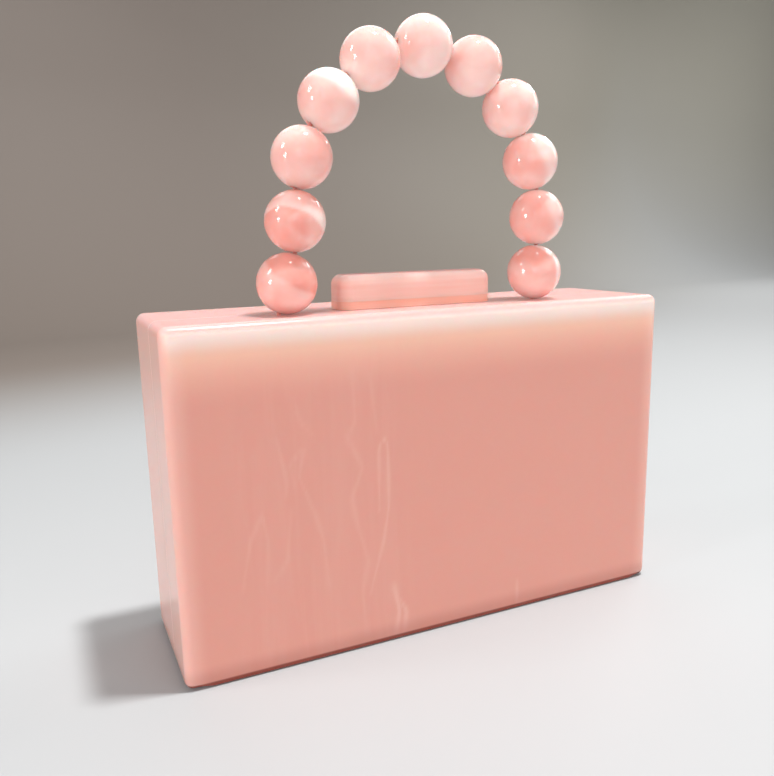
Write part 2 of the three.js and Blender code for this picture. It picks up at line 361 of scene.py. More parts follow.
# Marbled acrylic rod, turned and tumbled to a high polish: rose pink, more or less milky from bead to bead,
# with folded veils that start crisp and fade away, and soft clouds between them; painted light makes the
# beads paler up the arch and in their lower parts. Lamps shine partly through the milky mass, so the shadows
# that it throws are faint.
def tumbled_marbled_acrylic(settings):
    fold_size = 24 * MM
    fold_repeats = 3.0
    veil_full = 0.45
    veil_fading = 0.4
    veil_end = 0.9
    veil_milk = 0.14
    cloud_size = 9 * MM
    cloud_milk = 0.12
    lamp_share_let_through = 0.52
    material, tree, surface, place = new_material("acrylic_marbled_tumbled")
    sockets = {"Vector": place, "Scale": 1 / fold_size, "Detail": 1.0, "Roughness": 0.4, "Distortion": 0.9}
    folds = add_node(tree, "TexNoise", sockets).outputs["Fac"]
    repeated = add_node(tree, "Math", {0: folds, 1: fold_repeats}, operation="MULTIPLY").outputs[0]
    along_fold = add_node(tree, "Math", {0: repeated}, operation="FRACT").outputs[0]
    ramp = {"Value": along_fold, "From Min": 0.0, "From Max": veil_full}
    start = add_node(tree, "MapRange", ramp, **SMOOTH).outputs["Result"]
    ramp = {"Value": along_fold, "From Min": veil_end, "From Max": veil_fading, "To Max": veil_milk}
    fade = add_node(tree, "MapRange", ramp, **SMOOTH).outputs["Result"]
    veil = add_node(tree, "Math", {0: start, 1: fade}, operation="MULTIPLY").outputs[0]
    sockets = {"Vector": place, "Scale": 1 / cloud_size, "Detail": 2.0}
    clouds = add_node(tree, "TexNoise", sockets).outputs["Fac"]
    ramp = {"Value": clouds, "From Min": 0.3, "From Max": 0.7, "To Max": cloud_milk}
    cloud_share = add_node(tree, "MapRange", ramp).outputs["Result"]
    # Each bead's milkiness with painted light and its painted lower glow, kept on its vertices.
    milkiness_and_glow = add_node(tree, "Attribute", attribute_name="milkiness_and_glow").outputs["Fac"]
    marks = add_node(tree, "Math", {0: veil, 1: cloud_share}, operation="ADD").outputs[0]
    milk_and_glow = add_node(tree, "Math", {0: milkiness_and_glow, 1: marks}, operation="ADD", use_clamp=True).outputs[0]
    sockets = {MIX_FACTOR: milk_and_glow, MIX_A: settings.rose, MIX_B: settings.milk_and_glow}
    tint = add_node(tree, "Mix", sockets, **MIX_COLOURS).outputs[MIX_RESULT]
    shadow_ray = add_node(tree, "LightPath").outputs["Is Shadow Ray"]
    sockets = {0: shadow_ray, 1: -lamp_share_let_through, 2: 1.0}
    solidity = add_node(tree, "Math", sockets, operation="MULTIPLY_ADD").outputs[0]
    sockets = {
        "Base Color": tint,
        "Alpha": solidity,
        "Roughness": 0.07,
        "IOR": 1.49,
        "Subsurface Weight": 0.9,
        "Subsurface Radius": (1.0, 0.42, 0.32),
        "Subsurface Scale": 13 * MM,
    }
    shader = add_node(tree, "BsdfPrincipled", sockets)
    tree.links.new(shader.outputs[0], surface)
    return material


# Mild steel, rolled and satin polished: a soft grey shine with fine scuffs that vary the gloss.
def satin_rolled_steel(settings):
    scuff_size = 0.6 * MM
    material, tree, surface, place = new_material("steel_rolled_satin")
    sockets = {"Vector": place, "Scale": 1 / scuff_size, "Detail": 3.0}
    scuffs = add_node(tree, "TexNoise", sockets).outputs["Fac"]
    gloss = add_node(tree, "MapRange", {"Value": scuffs, "To Min": 0.24, "To Max": 0.4}).outputs["Result"]
    sockets = {"Base Color": settings.tint, "Metallic": 1.0, "Roughness": gloss}
    shader = add_node(tree, "BsdfPrincipled", sockets)
    tree.links.new(shader.outputs[0], surface)
    return material


# Stringing wire of drawn steel in a coat of dull pink nylon: it reads as shade between the beads.
def nylon_coated_wire(settings):
    wear_size = 1.5 * MM
    material, tree, surface, place = new_material("wire_drawn_nylon_coated")
    wear = add_node(tree, "TexNoise", {"Vector": place, "Scale": 1 / wear_size, "Detail": 2.0}).outputs["Fac"]
    gloss = add_node(tree, "MapRange", {"Value": wear, "To Min": 0.45, "To Max": 0.65}).outputs["Result"]
    shader = add_node(tree, "BsdfPrincipled", {"Base Color": settings.coat, "IOR": 1.53, "Roughness": gloss})
    tree.links.new(shader.outputs[0], surface)
    return material


# Matt painted board that sweeps up behind the case: pale underfoot, taupe at the back, the change painted as
# shade where the light falls off. The pale paint reaches further back on the right, where the taupe also
# grows paler, painted light for the brighter right of the backdrop. Places on the board are in metres.
def matt_painted_board(settings):
    furthest_right = 2.0
    right_spread = 0.5
    floor_until = 0.3
    wall_from = 0.8
    middle_from = 0.5
    middle_full = 1.9
    right_from = 1.8
    right_full = 2.8
    material, tree, surface, place = new_material("board_painted_matt")
    sockets = {"Vector": place, "Rotation": (0.0, 0.0, -settings.turn)}
    turned = add_node(tree, "Mapping", sockets).outputs["Vector"]
    axes = add_node(tree, "SeparateXYZ", {"Vector": turned}).outputs
    risen = add_node(tree, "Math", {0: axes["Y"], 1: axes["Z"]}, operation="ADD").outputs[0]
    rightwards = add_node(tree, "Clamp", {"Value": axes["X"], "Min": 0.0, "Max": furthest_right}).outputs[0]
    squared = add_node(tree, "Math", {0: rightwards, 1: 2.0}, operation="POWER").outputs[0]
    sockets = {0: squared, 1: right_spread, 2: 1.0}
    spread = add_node(tree, "Math", sockets, operation="MULTIPLY_ADD").outputs[0]
    reach = add_node(tree, "Math", {0: risen, 1: spread}, operation="DIVIDE").outputs[0]
    # Painted shade: the pale floor turns to the taupe wall towards the back.
    ramp = {"Value": reach, "From Min": floor_until, "From Max": wall_from}
    back = add_node(tree, "MapRange", ramp, **SMOOTH).outputs["Result"]
    ramp = {"Value": axes["X"], "From Min": middle_from, "From Max": middle_full}
    to_middle = add_node(tree, "MapRange", ramp).outputs["Result"]
    ramp = {"Value": axes["X"], "From Min": right_from, "From Max": right_full}
    to_right = add_node(tree, "MapRange", ramp, **SMOOTH).outputs["Result"]
    # Painted light: the wall paler towards the right.
    wall = settings.wall
    for share, over in ((to_middle, settings.wall_middle_painted_light), (to_right, settings.wall_right_painted_light)):
        sockets = {MIX_FACTOR: share, MIX_A: wall, MIX_B: over}
        wall = add_node(tree, "Mix", sockets, **MIX_COLOURS).outputs[MIX_RESULT]
    sockets = {MIX_FACTOR: back, MIX_A: settings.floor, MIX_B: wall}
    tint = add_node(tree, "Mix", sockets, **MIX_COLOURS).outputs[MIX_RESULT]
    shader = add_node(tree, "BsdfPrincipled", {"Base Color": tint, "Roughness": 0.6})
    tree.links.new(shader.outputs[0], surface)
    return material


def rounded_outline(stations_u, stations_v, corner_steps):
    """Once round a rounded rectangle. Every sample has a place along its side, endless at the ends so that a
    row's own size stops it there, and an outward direction: square to a side, turning evenly in a corner."""
    ends = ((-1, -1), (1, -1), (1, 1), (-1, 1))
    turning = np.arange(1, corner_steps) / corner_steps * (np.pi / 2)
    places = []
    angles = []
    for side in range(4):
        start = np.array(ends[side]) * np.inf
        stop = np.array(ends[(side + 1) % 4]) * np.inf
        stations = np.asarray((stations_u, stations_v)[side % 2])
        inner = np.tile(start, (len(stations), 1))
        inner[:, side % 2] = stations if side < 2 else stations[::-1]
        places += [start[None], inner, np.tile(stop, (corner_steps, 1))]
        facing = (side - 1) * (np.pi / 2)
        angles += [np.full(len(stations) + 2, facing), facing + turning]
    angle = np.concatenate(angles)
    return np.concatenate(places), np.stack((np.cos(angle), np.sin(angle)), axis=1)


def lofted_rows(half_sizes, rows, outline):
    """A wall through rows of rounded rectangles. A row is inset, level and corner radius: its core rectangle
    is the half sizes less the inset and the radius, and each sample stands one radius out from the core."""
    places, outward = outline
    inset, level, corner = np.asarray(rows, dtype=float).T
    half = (np.asarray(half_sizes) - (inset + corner)[:, None])[:, None]
    flat = np.clip(places[None], -half, half) + outward[None] * corner[:, None, None]
    lift = np.broadcast_to(level[:, None, None], (*flat.shape[:2], 1))
    return np.concatenate((flat, lift), axis=2)


def filled_rectangle(half_sizes, level, stations_u, stations_v):
    """A flat grid through a rectangle's stations, from edge to edge, that closes a loft of square rows."""
    half_u, half_v = half_sizes
    along_u = np.concatenate(([-half_u], stations_u, [half_u]))
    along_v = np.concatenate(([-half_v], stations_v, [half_v]))
    u, v = np.meshgrid(along_u, along_v, indexing="ij")
    return np.stack((u, v, np.full_like(u, level)), axis=2)


def grid_quads(rows, columns, closed_rows, closed_columns):
    """The corner numbers of every quad of a grid, which may close on itself either way."""
    row = np.arange(rows if closed_rows else rows - 1)
    column = np.arange(columns if closed_columns else columns - 1)
    row, column = np.meshgrid(row, column, indexing="ij")
    next_row = (row + 1) % rows
    next_column = (column + 1) % columns
    corners = ((row, column), (row, next_column), (next_row, next_column), (next_row, column))
    return np.stack([i * columns + j for i, j in corners], axis=-1).reshape(-1, 4)


def joined_grids(*grids):
    """Puts grids, each with whether it closes by rows and by columns, into one list of points and quads."""
    points = []
    quads = []
    count = 0
    for grid, closed_rows, closed_columns in grids:
        rows, columns = grid.shape[:2]
        points.append(grid.reshape(-1, 3))
        quads.append(grid_quads(rows, columns, closed_rows, closed_columns) + count)
        count += rows * columns
    return np.concatenate(points), np.concatenate(quads)


def closed_piece(name, points, quads, material, body, node):
    """A closed, smooth piece that stands for a CAD node: seams merged, faces turned out, flats kept flat."""
    mesh = bpy.data.meshes.new(name)
    mesh.from_pydata(points.tolist(), [], quads.tolist())
    work = bmesh.new()
    work.from_mesh(mesh)
    bmesh.ops.remove_doubles(work, verts=work.verts, dist=MERGE_DISTANCE)
    bmesh.ops.recalc_face_normals(work, faces=work.faces)
    work.to_mesh(mesh)
    work.free()
    mesh.shade_smooth()
    mesh.set_sharp_from_angle(angle=SHARP_ANGLE)
    mesh.materials.append(material)
    piece = bpy.data.objects.new(name, mesh)
    bpy.context.scene.collection.objects.link(piece)
    flats = piece.modifiers.new("flats_kept_flat", "WEIGHTED_NORMAL")
    flats.keep_sharp = True
    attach(piece, body)
    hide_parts(node)
    return piece


def vertex_places(piece):
    """Where each vertex of a piece lies, a row of x, y and z for each."""
    places = np.empty(len(piece.data.vertices) * 3)
    piece.data.vertices.foreach_get("co", places)
    return places.reshape(-1, 3)


def keep_on_vertices(piece, name, values):
    """Keeps one value at each vertex of a piece, for its material to read by name."""
    attribute = piece.data.attributes.new(name, "FLOAT", "POINT")
    attribute.data.foreach_set("value", values.astype(np.float32))


def arc(steps):
    """Angles from 0 to a quarter turn."""
    return np.linspace(0, np.pi / 2, steps + 1)


def smooth_step(value):
    """0 below 0, 1 above 1, and a smooth rise between them."""
    share = np.clip(value, 0, 1)
    return share * share * (3 - 2 * share)


# How finely a tray is divided: round its edges, bevels and corners, up its sides and across its faces.
EDGE_STEPS = 8
BEVEL_STEPS = 3
CORNER_STEPS = 8
OUTSIDE_ROWS = 8
INSIDE_ROWS = 7
FACE_COLUMNS = 321
FACE_ROWS = 61


def tray_rows(settings, depth):
    """Rows of an open tray, from the edge of its outer face: round the outer edge, up the outside, over the
    bevelled rim, down the inside and round the inner fillet to the edge of its floor. Levels are depths."""
    radius = settings.edge_radius
    bevel = settings.rim_bevel
    wall = settings.wall
    fillet = settings.inner_fillet
    rim_rings = (1.3 * MM, HINGE_AXIS.z, 0.8 * wall)
    turn = arc(EDGE_STEPS)
    short_turn = arc(BEVEL_STEPS)
    edge = [(radius * (1 - math.sin(a)), radius * (1 - math.cos(a)), radius * math.sin(a)) for a in turn]
    outside = [(0, level, radius) for level in np.linspace(radius, depth - bevel, OUTSIDE_ROWS)[1:-1]]
    outer_bevel = [
        (bevel * (1 - math.cos(a)), depth - bevel * (1 - math.sin(a)), radius - bevel * (1 - math.cos(a)))
        for a in short_turn
    ]
    rim = [(inset, depth, max(radius - inset, fillet)) for inset in rim_rings]
    inner_bevel = [
        (wall - bevel * (1 - math.sin(a)), depth - bevel * (1 - math.cos(a)), fillet) for a in short_turn
    ]
    levels = np.linspace(depth - bevel, wall + fillet, INSIDE_ROWS)[1:-1]
    inside = [(wall, level, fillet) for level in levels]
    floor_fillet = [
        (wall + fillet * (1 - math.cos(a)), wall + fillet * (1 - math.sin(a)), fillet * math.cos(a))
        for a in turn
    ]
    return edge + outside + outer_bevel + rim + inner_bevel + inside + floor_fillet


def tightened_foot(grid, settings, half_sizes):
    """Draws the round of the lower outer edge down towards the foot: heights up to the edge radius shrink in
    proportion, those above stretch up to where the foot's shade starts, and the corners keep their round."""
    half_width, half_height = half_sizes
    height = grid[..., 1] + half_height
    before = (0, settings.edge_radius, settings.foot_shade)
    drawn = np.interp(height, before, (0, settings.foot_round, settings.foot_shade))
    off_corner = half_width - settings.edge_radius - np.abs(grid[..., 0])
    share = smooth_step(off_corner / (2 * settings.edge_radius)) * (height < settings.foot_shade)
    grid[..., 1] += share * (drawn - height)
    return grid


def hinge_slots(settings):
    """The span of x that each hinge slot takes up."""
    spans = []
    for side in ("left", "right"):
        low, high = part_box(f"hinge_{side}_front")
        spans.append((low.x - settings.slot_clearance, high.x + settings.slot_clearance))
    return spans


def cut_for_hinges(grid, settings, depth, half_height):
    """Holds the depth back where the bottom seam is cut: bevelled below the hinge axis, slotted at hinges."""
    x = grid[..., 0]
    height = grid[..., 1] + half_height
    to_seam = depth + settings.seam_gap / 2
    bevel = to_seam - math.tan(settings.groove_angle) * np.maximum(HINGE_AXIS.z - height, 0)
    limit = np.minimum(depth, bevel)
    for low, high in hinge_slots(settings):
        across = (x >= low - MERGE_DISTANCE) & (x <= high + MERGE_DISTANCE)
        inside = across & (height <= settings.wall + MERGE_DISTANCE)
        limit = np.where(inside, np.minimum(limit, to_seam - settings.slot_depth), limit)
    grid[..., 2] = np.minimum(grid[..., 2], limit)
    return grid


# Drips of white pigment in the front sheet, charted: half the line's width, the strength, then the places (x,
# z) that each passes through. Widths and places are in millimetres on the face.
PIGMENT_DRIPS = (
    (0.7, 0.5, ((-78.9, 32.6), (-77.5, 39.9), (-75.2, 50.3), (-70.9, 58.4), (-69.3, 49.1), (-70.3, 31.4))),
    (0.7, 0.6, ((-64.7, 84.7), (-61.7, 68.5), (-62.3, 62.9))),
    (0.7, 0.5, (
        (-58.9, 66.7), (-60.7, 74.4), (-55.1, 79.6), (-57.4, 69.6),
        (-52.5, 56.5), (-49.3, 45.2), (-48.1, 27.2),
    )),
    (0.7, 0.35, ((-58.1, 98.3), (-56.5, 89.5), (-51.4, 82.9))),
    (0.8, 0.4, ((-60.7, 58.7), (-62.7, 40.1), (-67.3, 34.1))),
    (0.9, 0.5, (
        (-36.7, 105.4), (-36.2, 86.0), (-39.4, 81.3), (-33.7, 69.6), (-38.2, 58.9),
        (-36.2, 48.0), (-32.4, 33.8), (-35.1, 21.9), (-33.9, 5.7),
    )),
    (0.8, 0.4, ((-30.4, 103.4), (-27.9, 82.0))),
    (0.6, 1.0, (
        (-27.8, 52.0), (-27.4, 73.1), (-27.3, 76.4), (-24.9, 79.1),
        (-23.8, 75.2), (-23.9, 53.0), (-26.2, 40.7), (-31.9, 21.2),
    )),
    (1.1, 1.6, ((-22.5, 21.8), (-20.3, 11.6), (-21.7, 4.2))),
    (1.0, 1.3, ((-20.2, 15.7), (-17.4, 10.9), (-18.3, 4.2))),
    (0.6, 0.9, ((32.2, 12.2), (32.3, 3.5))),
)
DRIP_SPACING = 0.5 * MM
DRIP_ROUNDING = np.hanning(11)[1:-1] / np.hanning(11).sum()
DRIP_SWELL = 0.35
DRIP_SWELL_LENGTH = 4.1 * MM
DRIP_FADING = (0.1, 0.95)


def drip_line(places):
    """Evenly spaced points along the straight links between the places, averaged over a few millimetres of
    the line so that it turns in curves."""
    corners = np.array(places) * MM
    steps = np.concatenate(([0], np.cumsum(np.hypot(*np.diff(corners, axis=0).T))))
    along = np.linspace(0, steps[-1], int(steps[-1] / DRIP_SPACING))
    margin = len(DRIP_ROUNDING) // 2
    rounded = []
    for column in corners.T:
        straight = np.pad(np.interp(along, steps, column), margin, mode="reflect", reflect_type="odd")
        rounded.append(np.convolve(straight, DRIP_ROUNDING, mode="valid"))
    return along, rounded


def drip_strength(x, z):
    """How much white pigment lies at each place of the face: for every drip, a bell curve of the distance to
    its line, which swells and thins along the line and fades out at both ends."""
    strength = np.zeros_like(x)
    for half_width, most, places in PIGMENT_DRIPS:
        along, (line_x, line_z) = drip_line(places)
        swell = 1 + DRIP_SWELL * np.sin(along / DRIP_SWELL_LENGTH + line_x[0] / MM)
        fading = np.sin(np.linspace(*DRIP_FADING, len(along)) * np.pi) ** 0.5
        away = (x[:, None] - line_x) ** 2 + (z[:, None] - line_z) ** 2
        bell = np.exp(-away / (half_width * MM * swell) ** 2) * fading
        strength = np.maximum(strength, most * bell.max(axis=1))
    return strength


def tray_stations(settings, half_width, half_height):
    """Where the long and short sides are divided: evenly, and on both sides of each slot's ends."""
    margin = 1 * MM
    beside_slot = 0.05 * MM
    reach = half_width - settings.wall - settings.inner_fillet - margin
    even = np.linspace(-reach, reach, FACE_COLUMNS)
    slot_ends = np.array(hinge_slots(settings)).ravel()
    beside = slot_ends + np.array([-1, 1, -1, 1]) * beside_slot
    along = np.unique(np.round(np.concatenate((even, slot_ends, beside)), 7))
    rise = half_height - settings.wall - settings.inner_fillet - margin
    return along, np.linspace(-rise, rise, FACE_ROWS)


def tray(name, node, body, material, settings):
    """An open tray in the place of a CAD shell: rows of rounded rectangles round its mouth, closed by a flat
    outer face and a flat inner floor, facing forwards for the front shell and backwards for the back one."""
    low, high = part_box(node)
    half_width = (high.x - low.x) / 2
    half_height = (high.z - low.z) / 2
    depth = high.y - low.y
    stations = tray_stations(settings, half_width, half_height)
    rows = tray_rows(settings, depth)
    half_sizes = (half_width, half_height)
    walls = lofted_rows(half_sizes, rows, rounded_outline(*stations, CORNER_STEPS))
    walls = cut_for_hinges(walls, settings, depth, half_height)
    walls[:EDGE_STEPS] = tightened_foot(walls[:EDGE_STEPS], settings, half_sizes)
    face_inset = settings.edge_radius
    floor_inset = settings.wall + settings.inner_fillet
    face_skin = 1 * MM
    face = filled_rectangle((half_width - face_inset, half_height - face_inset), 0, *stations)
    face = tightened_foot(face, settings, half_sizes)
    floor = filled_rectangle((half_width - floor_inset, half_height - floor_inset), settings.wall, *stations)
    points, quads = joined_grids((walls, False, True), (face, False, False), (floor, False, False))
    forwards = node.startswith("front")
    across = low.y + points[:, 2] if forwards else high.y - points[:, 2]
    placed = np.stack((points[:, 0], across, points[:, 1] + half_height), axis=1)
    piece = closed_piece(name, placed, quads, material, body, node)
    x, y, z = vertex_places(piece).T
    drips = drip_strength(x, z) * (y < low.y + face_skin) * forwards
    keep_on_vertices(piece, "pigment_drips", drips)


# How finely a clasp layer is divided: round its edges and corners, along it and across it.
CLASP_EDGE_STEPS = 8
CLASP_CORNER_STEPS = 12
CLASP_COLUMNS = np.linspace(-0.8, 0.8, 25)
CLASP_ROWS = np.linspace(-0.3, 0.3, 3)


def block_rows(height, plan_radius, low_radius, high_radius):
    """Rows of a solid block, from the middle of its underside to the middle of its top: flat, round the lower
    edge, up, round the upper edge, flat."""
    turn = arc(CLASP_EDGE_STEPS)
    lower = [(low_radius * (1 - math.sin(a)), low_radius * (1 - math.cos(a))) for a in turn]
    upper = [(high_radius * (1 - math.cos(a)), height - high_radius * (1 - math.sin(a))) for a in turn]
    sides = [(inset, level, plan_radius - inset) for inset, level in lower + upper]
    return [(plan_radius, 0, 0), *sides, (plan_radius, height, 0)]


def clasp_layer(name, node, material, settings, bottom, low_radius, high_radius):
    """One layer of the clasp in the place of its CAD node: rows of rounded rectangles from bottom to top. It
    reaches down to the level given, through the film of glue that the CAD leaves free."""
    low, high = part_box(node)
    middle = (low + high) / 2
    half_sizes = ((high.x - low.x) / 2, (high.y - low.y) / 2)
    radius = settings.plan_radius
    stations_u = CLASP_COLUMNS * half_sizes[0]
    stations_v = CLASP_ROWS * half_sizes[1]
    rows = block_rows(high.z - bottom, radius, low_radius, high_radius)
    walls = lofted_rows(half_sizes, rows, rounded_outline(stations_u, stations_v, CLASP_CORNER_STEPS))
    flat = (half_sizes[0] - radius, half_sizes[1] - radius)
    under = filled_rectangle(flat, 0, stations_u, stations_v)
    top = filled_rectangle(flat, high.z - bottom, stations_u, stations_v)
    points, quads = joined_grids((walls, False, True), (under, False, False), (top, False, False))
    placed = points + np.array((middle.x, middle.y, bottom))
    closed_piece(name, placed, quads, material, FRONT_BODY, node)


# How milky each bead is, from the left foot over the arch to the right foot: partly its own marbling and
# partly painted light, paler up the arch where the light from above is stronger.
BEAD_MILK_AND_LIGHT = (0.0, 0.04, 0.17, 0.31, 0.37, 0.46, 0.38, 0.32, 0.17, 0.13, 0.06)

# White veils in the beads, charted on two axes across the arch, right and up, in bead radii. Each row is the
# bead's number, the turn in degrees from right of the way that the veil fades, how far from the middle it
# starts, its bend, how soon it is full, how far it then fades, and its strength.
VEIL_RIGHT = (0.907, -0.42, -0.02)
VEIL_UP = (0.1, 0.17, 0.98)
BEAD_VEILS = (
    (1, 236, -0.05, 0.25, 0.18, 1.0, 0.3),
    (1, 105, 0.12, 0.1, 0.1, 0.2, 0.06),
    (2, 78, 0.18, 0.35, 0.1, 0.7, 0.42),
    (2, -20, 0.45, -0.2, 0.3, 1.0, 0.2),
    (3, 120, 0.1, 0.0, 0.5, 1.0, 0.15),
    (4, 58, 0.15, 0.1, 0.35, 2.0, 0.58),
    (5, 70, 0.2, 0.2, 0.6, 2.0, 0.12),
    (6, 40, 0.1, 0.2, 0.6, 2.0, 0.15),
    (8, 30, 0.15, 0.1, 0.5, 2.0, 0.24),
    (9, 35, 0.0, 0.3, 0.4, 2.0, 0.35),
    (9, 55, 0.5, 0.0, 0.2, 0.8, 0.3),
    (10, 20, 0.15, 0.3, 0.5, 2.0, 0.3),
    (11, 250, 0.0, 0.2, 0.4, 1.2, 0.2),
    (11, 28, 0.62, 0.5, 0.12, 0.4, 0.6),
)


def bead_milk(number, points, centre, radius):
    """How milky each point of a bead is: its own share, which is partly painted light, a painted glow in the
    lower part that stands for light that has come through, and its veils. A veil is a bent sheet through the
    bead: full soon after its start, fading slowly behind it, and lost in the mass towards the back of the
    bag."""
    painted_glow_milk = 0.22
    painted_glow_from = -0.2
    painted_glow_rise = 0.8
    lost_depth = 1.2
    ripple = 0.03
    ripple_turns = 6
    away = (points - np.array(centre)) / radius
    right = away @ np.array(VEIL_RIGHT)
    up = away @ np.array(VEIL_UP)
    # Painted light: a glow in each bead's lower part, for light that has come through it.
    painted_glow = smooth_step((painted_glow_from - away[:, 2]) / painted_glow_rise)
    milk_and_glow = BEAD_MILK_AND_LIGHT[number - 1] + painted_glow_milk * painted_glow
    forward = smooth_step((away @ np.cross(VEIL_RIGHT, VEIL_UP) + 1) / lost_depth)
    for bead, turn, start, bend, full, fade, strength in BEAD_VEILS:
        if bead == number:
            sin = math.sin(math.radians(turn))
            cos = math.cos(math.radians(turn))
            along = up * cos - right * sin
            waved = ripple * np.sin(ripple_turns * along + number)
            past = right * cos + up * sin - start + bend * along ** 2 + waved
            milk_and_glow += strength * forward * smooth_step(past / full) * (1 - smooth_step((past - full) / fade))
    return milk_and_glow


# How finely a bead's bore is divided: round its rims and along it.
RIM_STEPS = 6
BORE_STEPS = 6


def bead_profile(radius, settings):
    """A closed profile, as distance from the bore's axis and height along it: over the ball from rim to rim,
    round the upper rim, down the bore and round the lower rim. Each rim touches the ball and the bore."""
    bore = settings.bore / 2
    rim = settings.rim
    rim_out = bore + rim
    rim_up = math.sqrt((radius - rim) ** 2 - rim_out ** 2)
    touch = math.atan2(rim_up, rim_out)
    latitude = np.linspace(-touch, touch, settings.along + 1)
    ball = np.stack((radius * np.cos(latitude), radius * np.sin(latitude)), axis=1)
    turn = np.linspace(touch, np.pi, RIM_STEPS)[1:]
    upper = np.stack((rim_out + rim * np.cos(turn), rim_up + rim * np.sin(turn)), axis=1)
    bore_height = np.linspace(rim_up, -rim_up, BORE_STEPS)[1:-1]
    inside = np.stack((np.full_like(bore_height, bore), bore_height), axis=1)
    lower = upper[::-1] * (1, -1)
    return np.concatenate((ball, upper, inside, lower))


def bead_surface(centre, radius, lean, settings):
    """The profile turned about the bore, leaned over in the plane of the arch and moved to its centre."""
    out, up = bead_profile(radius, settings).T
    angle = np.linspace(0, 2 * np.pi, settings.around, endpoint=False)
    across = out[:, None] * np.cos(angle)
    depth = out[:, None] * np.sin(angle)
    along = np.broadcast_to(up[:, None], across.shape)
    x = across * math.cos(lean) + along * math.sin(lean)
    z = along * math.cos(lean) - across * math.sin(lean)
    return np.stack((x, depth, z), axis=2) + np.array(centre)


def bore_leans(centres, foot_lean):
    """Each bore leans as far to one side of the link to the next bead as the next bore leans to the other."""
    leans = [foot_lean]
    for here, there in zip(centres, centres[1:]):
        link = math.atan2(there.x - here.x, there.z - here.z)
        leans.append(2 * link - leans[-1])
    return leans


def swept_board(settings):
    """The stage: a straight profile along a line. It runs level under the case, curves up by a quarter circle
    and goes on straight up, and the line is as long as the views need."""
    level_from = -9.0
    board_height = 3.0
    half_length = 12.0
    curve_steps = 24
    turn = arc(curve_steps)
    start = settings.wall_distance - settings.sweep_radius
    forth = start + settings.sweep_radius * np.sin(turn)
    rise = settings.sweep_radius * (1 - np.cos(turn))
    curve = np.stack((forth, rise), axis=1)
    profile = np.concatenate(([(level_from, 0)], curve, [(settings.wall_distance, board_height)]))
    along = np.array((-half_length, 0, half_length))
    sin = math.sin(settings.turn)
    cos = math.cos(settings.turn)
    back = np.broadcast_to(profile[:, None, 0], (len(profile), len(along)))
    x = along[None] * cos - back * sin
    y = along[None] * sin + back * cos
    z = np.broadcast_to(profile[:, None, 1], x.shape)
    return np.stack((x, y, z), axis=2)


# Lamps: where each stands, what it is aimed at and its two sides, all in metres, and its power in watts. The
# one overhead throws the case's shadow on the floor, the two on the right lay milky patches on the beads, the
# two in front fill the faces, the two on the left give each bead its sparks, the one behind keeps the back
# from going dark, and the last one lights the far end of the board.
LAMPS = (
    ("lamp_overhead", (0.193, -0.112, 1.325), (0, 0, 0.06), (0.1, 0.1), 17.0),
    ("lamp_upper_right", (0.82, 0.16, 0.92), (0, 0, 0.12), (0.45, 0.35), 2.1),
    ("lamp_right", (1.12, 0.11, 0.52), (0, 0, 0.12), (0.25, 0.35), 0.6),
    ("lamp_front_left", (-0.48, -1.44, 0.46), (0, 0, 0.06), (1.4, 0.85), 7.0),
    ("lamp_front_right", (0.7, -1.3, 0.5), (0, 0, 0.06), (1.0, 0.9), 4.0),
    ("lamp_left_near", (-0.367, 0.043, 0.379), (0, 0, 0.12), (0.065, 0.11), 0.285),
    ("lamp_left_far", (-1.236, -0.202, 0.278), (0, 0, 0.1), (0.16, 0.25), 4.9),
    ("lamp_behind", (0.2, 1.1, 1.1), (0, 0, 0.06), (1.0, 0.6), 2.7),
    ("lamp_far_right", (1.5, 0.95, 1.0), (1.55, 1.05, 0), (0.5, 0.5), 8.6),
)
ROOM_LIGHT = 0.26


class CLUTCH_OT_stage(bpy.types.Operator):
    """Makes the board, the lamps and the camera"""

    bl_idname = "clutch.stage"
    bl_label = "Stage"

    def execute(self, context):
        settings = context.scene.clutch_stage
        self.make_board(context, settings)
        self.make_lamps(context)
        self.make_camera(context, settings)
        return {"FINISHED"}

    def make_board(self, context, settings):
        points, quads = joined_grids((swept_board(settings), False, False))
        mesh = bpy.data.meshes.new("board")
        facing_up = quads[:, ::-1]
        mesh.from_pydata(points.tolist(), [], facing_up.tolist())
        mesh.shade_smooth()
        mesh.materials.append(matt_painted_board(settings))
        board = bpy.data.objects.new("board", mesh)
        context.scene.collection.objects.link(board)

    def make_lamps(self, context):
        for name, place, aim, sides, power in LAMPS:
            data = bpy.data.lights.new(name, "AREA")
            data.shape = "RECTANGLE"
            data.size, data.size_y = sides
            data.energy = power
            lamp = bpy.data.objects.new(name, data)
            lamp.location = place
            lamp.rotation_euler = (Vector(place) - Vector(aim)).to_track_quat("Z", "Y").to_euler()
            lamp.visible_camera = False
            context.scene.collection.objects.link(lamp)
        world = bpy.data.worlds.new("room")
        world.use_nodes = True
        sky = world.node_tree.nodes["Background"]
        sky.inputs["Color"].default_value = linear("#FFFFFF")
        sky.inputs["Strength"].default_value = ROOM_LIGHT
        context.scene.world = world
        context.scene.view_settings.view_transform = "Standard"

    def make_camera(self, context, settings):
        data = bpy.data.cameras.new("camera")
        data.sensor_width = SENSOR_WIDTH
        data.lens = settings.focal_length
        data.clip_start = NEAREST_SEEN
        camera = bpy.data.objects.new("camera", data)
        turn = Matrix.Rotation(-settings.camera_yaw, 4, "Z")
        tilt = Matrix.Rotation(math.pi / 2 - settings.camera_pitch, 4, "X")
        roll = Matrix.Rotation(settings.camera_roll, 4, "Z")
        camera.matrix_world = Matrix.Translation(settings.camera_place) @ turn @ tilt @ roll
        context.scene.collection.objects.link(camera)
        context.scene.camera = camera


